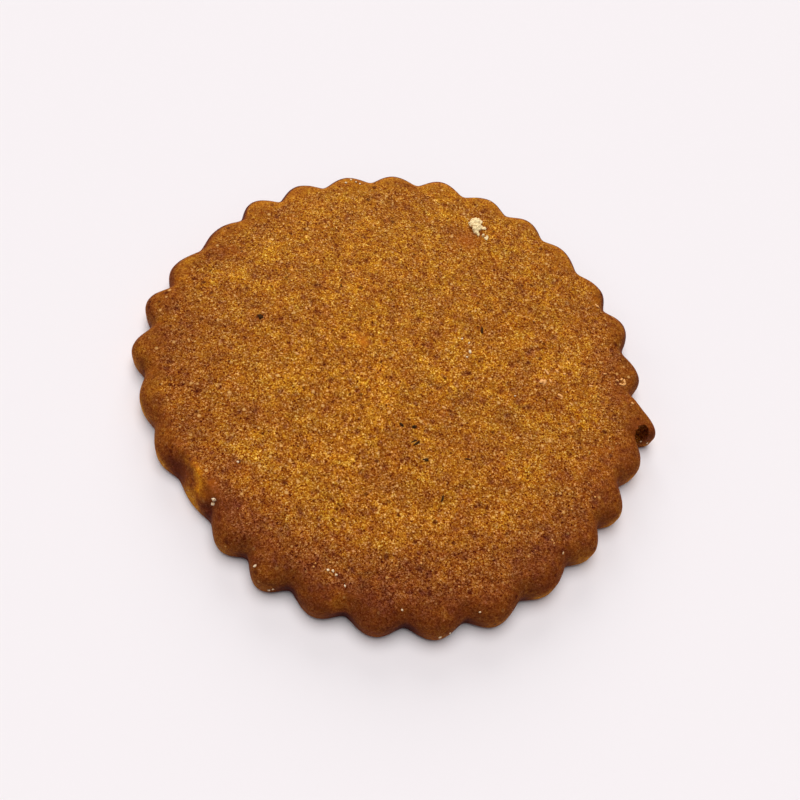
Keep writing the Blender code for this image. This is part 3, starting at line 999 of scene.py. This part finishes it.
def oven_and_painted_light_masks(points, edge, level, wave):
    """How much the oven browned each point, plus painted shade and light, and how far its grain is calmed.
    """
    across = np.degrees(np.arctan2(points[:, 1], points[:, 0]))
    front = facing(across, BAKED_SIDE)
    blotch = layered_noise(points, BLOTCHES)
    ragged_edge = edge + EDGE_RAGGEDNESS * blotch
    start = BAKED_START[0] + (BAKED_START[1] - BAKED_START[0]) * front
    rim = smooth_step(0.0, 1.0, (ragged_edge - start) / (BAKED_FULL - start))
    baked = BAKED_MOST * front ** BAKED_FALL * rim

    near_edge = smooth_step(*SIDE_EDGES, edge)
    side = (1.0 - smooth_step(*SIDE_LEVELS, level + SIDE_RAGGEDNESS * blotch)) * near_edge
    narrow = smooth_step(VALLEY_START, 1.0, edge) * (1.0 - wave) ** VALLEY_FALL
    # the side is painted paler away from the front, as painted light, and browned toward it
    wall = WALL_BROWNING_AND_LIGHT[0] + WALL_BROWNING_AND_LIGHT[1] * facing(across, WALL_SIDE) ** WALL_FALL
    # painted shade low in the valleys
    wall += VALLEY_SHADE * narrow * (1.0 - smooth_step(*VALLEY_LEVELS, level))
    # painted shade at the foot, where the side meets the table
    wall += FOOT_SHADE * (1.0 - smooth_step(*FOOT_LEVELS, level))
    # painted shade along the far edge at the back
    line = BACK_SHADE_LINE * (1.0 - front) ** BACK_FALL * near_edge * (1.0 - smooth_step(*BACK_LEVELS, level))
    browning = baked * (1.0 - side) + wall * side + line + (level < UNDER_LEVEL) * UNDER_BROWNING
    return browning, np.maximum(side, smooth_step(CALM_START, 1.0, ragged_edge))


def roughen(crust, relief, studio):
    """Push the smooth crust in and out into grain, pits and cracks, and store the masks of its colours."""
    mesh = crust.data
    points, normals = read_points(mesh), read_points(mesh, "normal")
    edge, level, wave = (read_values(mesh, name) for name in ("edge", "level", "wave"))
    surface = surface_of(mesh)

    height = np.zeros(len(points))
    for number, (wavelength, amount) in enumerate(RELIEF_LAYERS):
        calm = 1.0 - CALM_LOSS * smooth_step(CALM_START, 1.0, edge) * (number > 0)
        height += amount * calm * noise_at(points, wavelength, LAYER_SHIFT * (number + 1))
    pits = sink_pits(points, level, edge, relief.pit_count, random.Random(PIT_SEED))
    height = (height - pits) * relief.roughness * smooth_step(0.0, ROUGH_LEVEL, level)
    for line, width, lift in PRESSED_PIXELS:
        places = [seen_place(studio, surface, *pixel)[0] for pixel in line]
        distance = np.min([nearest_on_line(points, *ends) for ends in zip(places, places[1:])], axis=0)
        height += lift * MM * bell(distance, width * MM)

    browning, calm = oven_and_painted_light_masks(points, edge, level, wave)
    stain_and_light, blush = stain_and_light_masks(points, surface, studio)
    # stains brown the crust, and the other marks paint shade and a highlight on it
    # the deepest pits get painted shade
    browning += STAIN_AND_LIGHT_STRENGTH * stain_and_light + PIT_SHADE * np.clip(pits / (PIT_SLOPE * PIT_RADII[1]), 0.0, 1.0)
    store_values(mesh, "calm", np.clip(calm, 0.0, 1.0))
    store_values(mesh, "browning", np.clip(browning, *BROWNING_AND_LIGHT_LIMITS))
    store_values(mesh, "blush", np.clip(blush, 0.0, 1.0))

    moved = points + normals * height[:, None]
    moved[:, 2] = np.maximum(moved[:, 2], 0.0)
    mesh.vertices.foreach_set("co", moved.astype(np.float32).ravel())
    mesh.update()


# The crumbs, chips, grains and flecks

def round_lump(place, normal, width, draw):
    """A lump of about the same width all ways, turned at random."""
    turn = Quaternion(normal, draw.uniform(0.0, 2.0 * pi))
    return place, normal, turn @ normal.orthogonal(), width, width * draw.uniform(*ROUNDNESS)


def seen_lumps(studio, surface, listed, draw):
    """Round lumps at pixels of the picture."""
    return [
        round_lump(*seen_place(studio, surface, pixel_x, pixel_y), width * MM, draw)
        for pixel_x, pixel_y, width in listed]


def long_lumps(studio, surface, listed):
    """Long lumps between pixels of the picture."""
    lumps = []
    for first, last, width in listed:
        start, normal = seen_place(studio, surface, *first)
        end, _ = seen_place(studio, surface, *last)
        along = end - start
        lumps.append(((start + end) / 2.0, normal, along, along.length + width * MM, width * MM))
    return lumps


def lump_mesh(name, lumps):
    """One mesh of many lumps, each of the piece's shape and partly under the crust."""
    fineness, bumps, flatness, sink = LUMP_SHAPES[name]
    layers = ((BUMP_FINENESS[0], bumps), (BUMP_FINENESS[1], 0.5 * bumps))
    all_points, all_faces = [], []
    for number, (place, normal, along, length, width) in enumerate(lumps):
        ball = bumpy_ball(fineness, layers, Vector([number * step for step in LUMP_SHIFT]))
        across = normal.cross(along).normalized()
        axes = Matrix((across.cross(normal), across, normal)).transposed()
        size = Vector((length / 2.0, width / 2.0, width * flatness / 2.0))
        raise_by = normal * size.z * (1.0 - 2.0 * sink)
        start = len(all_points)
        all_points += [place + raise_by + axes @ (corner.co * size) for corner in ball.verts]
        all_faces += [tuple(start + corner.index for corner in face.verts) for face in ball.faces]
        ball.free()
    mesh = bpy.data.meshes.new(name)
    mesh.from_pydata(all_points, [], all_faces)
    return mesh


def fuse_lumps(mesh):
    """The mesh's lumps grown together into one rough chunk. The voxels are worked out in millimetres."""
    mesh.transform(Matrix.Scale(1.0 / MM, 4))
    chunk = link_object(mesh.name, mesh)
    remesh = chunk.modifiers.new("Fused", "REMESH")
    remesh.mode = "VOXEL"
    remesh.voxel_size = FUSED_VOXEL / MM
    apply_modifiers(chunk)
    fused = chunk.data
    fused.transform(Matrix.Scale(MM, 4))
    points, normals = read_points(fused), read_points(fused, "normal")
    points += normals * (FUSED_ROUGHNESS * layered_noise(points, FUSED_LAYERS))[:, None]
    fused.vertices.foreach_set("co", points.astype(np.float32).ravel())
    fused.update()
    return chunk


def place_piece(piece):
    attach(piece, "root")


class COOKIE_OT_stage(bpy.types.Operator):
    """Lay the pale table and set the soft light and the camera"""

    bl_idname = "cookie.stage"
    bl_label = "Table, Light and Camera"

    def execute(self, context):
        studio = context.scene.cookie_studio
        mesh = bpy.data.meshes.new("table_top")
        corners = ((-1, -1), (1, -1), (1, 1), (-1, 1))
        mesh.from_pydata(
            [(x * TABLE_REACH, y * TABLE_REACH, -TABLE_DROP) for x, y in corners], [], [(0, 1, 2, 3)])
        material, graph, shader, _ = new_material("Table top", roughness=0.9, specular=0.1)
        graph.put(shader, "Base Color", tuple(studio.table))
        mesh.materials.append(material)
        link_object("table_top", mesh)

        world = bpy.data.worlds.new("Pale room")
        context.scene.world = world
        world.use_nodes = True
        sky = world.node_tree.nodes["Background"]
        sky.inputs["Color"].default_value = (*studio.room, 1.0)
        sky.inputs["Strength"].default_value = studio.room_light
        for name, azimuth, elevation, spread, share in LAMPS:
            lamp = bpy.data.lights.new(name, "SUN")
            lamp.angle = radians(spread)
            lamp.energy = studio.lamp_light * share * pi / sin(radians(elevation))
            lamp_object = link_object(name, lamp)
            around, up = radians(azimuth), radians(elevation)
            towards = Vector((cos(around) * cos(up), sin(around) * cos(up), sin(up)))
            lamp_object.rotation_mode = "QUATERNION"
            lamp_object.rotation_quaternion = towards.to_track_quat("Z", "Y")

        camera = bpy.data.cameras.new("camera")
        camera.sensor_width = SENSOR_WIDTH
        camera.lens = camera.sensor_width * studio.focal_pixels / PICTURE_SIDE
        camera.clip_start = CLIP_START
        camera_object = link_object("camera", camera)
        camera_object.rotation_mode = "QUATERNION"
        camera_object.location, camera_object.rotation_quaternion = camera_axes(studio)
        context.scene.camera = camera_object
        context.scene.view_settings.view_transform = "Standard"
        return {"FINISHED"}


class COOKIE_OT_crust(bpy.types.Operator):
    """Bake the cookie's crust, with its grain, pits, cracks, dent and torn flute"""

    bl_idname = "cookie.crust"
    bl_label = "Baked Crust"

    def execute(self, context):
        relief = context.scene.cookie_relief
        colours = context.scene.cookie_colours
        mesh, middle = smooth_cookie(relief.mesh_step)
        mesh.materials.append(crust_material(colours, relief))
        crust = link_object("cookie_crust", mesh)
        cut_pocket(crust, middle, torn_material(colours, relief))
        roughen(crust, relief, context.scene.cookie_studio)
        crust.data.shade_smooth()
        place_piece(crust)
        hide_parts("cookie")
        return {"FINISHED"}


class COOKIE_OT_pale_crumbs(bpy.types.Operator):
    """Drop the pale crumbs where they lie on the crust"""

    bl_idname = "cookie.pale_crumbs"
    bl_label = "Pale Crumbs"

    def execute(self, context):
        studio = context.scene.cookie_studio
        colours = context.scene.cookie_colours
        surface = crust_surface()
        draw = random.Random(CRUMB_SEED)
        large = lump_mesh("large_crumb", seen_lumps(studio, surface, LARGE_CRUMB_LUMPS, draw))
        small = lump_mesh("small_crumbs", seen_lumps(studio, surface, SMALL_CRUMB_PIXELS, draw))
        chips = lump_mesh("chips", long_lumps(studio, surface, CHIP_PIXELS))
        for piece, light in (
                (fuse_lumps(large), colours.crumb),
                (link_object("small_crumbs", small), colours.small_crumb),
                (link_object("chips", chips), colours.chip)):
            piece.data.materials.append(
                crumb_material(piece.name, colours.crumb_hollow_shade, light, roughness=0.8))
            piece.data.shade_smooth()
            place_piece(piece)
        return {"FINISHED"}


class COOKIE_OT_tan_grains(bpy.types.Operator):
    """Scatter the small tan grains of flour and sugar over the top"""

    bl_idname = "cookie.tan_grains"
    bl_label = "Tan Grains"

    def execute(self, context):
        colours = context.scene.cookie_colours
        surface = crust_surface()
        draw = random.Random(GRAIN_SEED)
        lumps = []
        for _ in range(context.scene.cookie_relief.grain_count):
            above = Vector((*random_spot(GRAIN_REACH, draw), 2.0 * RIM_THICKNESS))
            place, normal, _, _ = surface.ray_cast(above, Vector((0.0, 0.0, -1.0)))
            width = random_size(GRAIN_WIDTHS, GRAIN_CROWDING, draw)
            lumps.append(round_lump(place, normal, width, draw))
        mesh = lump_mesh("tan_grains", lumps)
        mesh.materials.append(crumb_material("Tan grain", colours.golden, colours.tan, roughness=0.7))
        mesh.shade_smooth()
        place_piece(link_object("tan_grains", mesh))
        return {"FINISHED"}


class COOKIE_OT_spice_flecks(bpy.types.Operator):
    """Press the dark flecks of spice into the crust"""

    bl_idname = "cookie.spice_flecks"
    bl_label = "Spice Flecks"

    def execute(self, context):
        studio = context.scene.cookie_studio
        colours = context.scene.cookie_colours
        mesh = lump_mesh("spice_flecks", long_lumps(studio, crust_surface(), FLECK_PIXELS))
        mesh.materials.append(
            crumb_material("Spice fleck", colours.fleck, colours.fleck_light, roughness=0.6))
        mesh.shade_smooth()
        place_piece(link_object("spice_flecks", mesh))
        return {"FINISHED"}


class COOKIE_PT_panel(bpy.types.Panel):
    """Lists the cookie's pieces and their settings"""

    bl_idname = "COOKIE_PT_panel"
    bl_label = "Ginger Cookie"
    bl_space_type = "VIEW_3D"
    bl_region_type = "UI"
    bl_category = "Cookie"

    def draw(self, context):
        for operator in OPERATORS:
            self.layout.operator(operator.bl_idname)
        for settings_name in SETTINGS:
            settings = getattr(context.scene, settings_name)
            box = self.layout.box()
            for name in settings.__annotations__:
                box.prop(settings, name)


OPERATORS = (
    COOKIE_OT_stage, COOKIE_OT_crust, COOKIE_OT_pale_crumbs, COOKIE_OT_tan_grains, COOKIE_OT_spice_flecks)
SETTINGS = {"cookie_relief": CookieRelief, "cookie_colours": CookieColours, "cookie_studio": CookieStudio}


def register():
    for kind in (*SETTINGS.values(), *OPERATORS, COOKIE_PT_panel):
        bpy.utils.register_class(kind)
    for name, settings in SETTINGS.items():
        setattr(bpy.types.Scene, name, bpy.props.PointerProperty(type=settings))


def unregister():
    for name in SETTINGS:
        delattr(bpy.types.Scene, name)
    for kind in (COOKIE_PT_panel, *reversed(OPERATORS), *SETTINGS.values()):
        bpy.utils.unregister_class(kind)


def main():
    register()
    bpy.ops.cookie.stage()
    bpy.ops.cookie.crust()
    bpy.ops.cookie.pale_crumbs()
    bpy.ops.cookie.tan_grains()
    bpy.ops.cookie.spice_flecks()


if __name__ == "__main__":
    main()
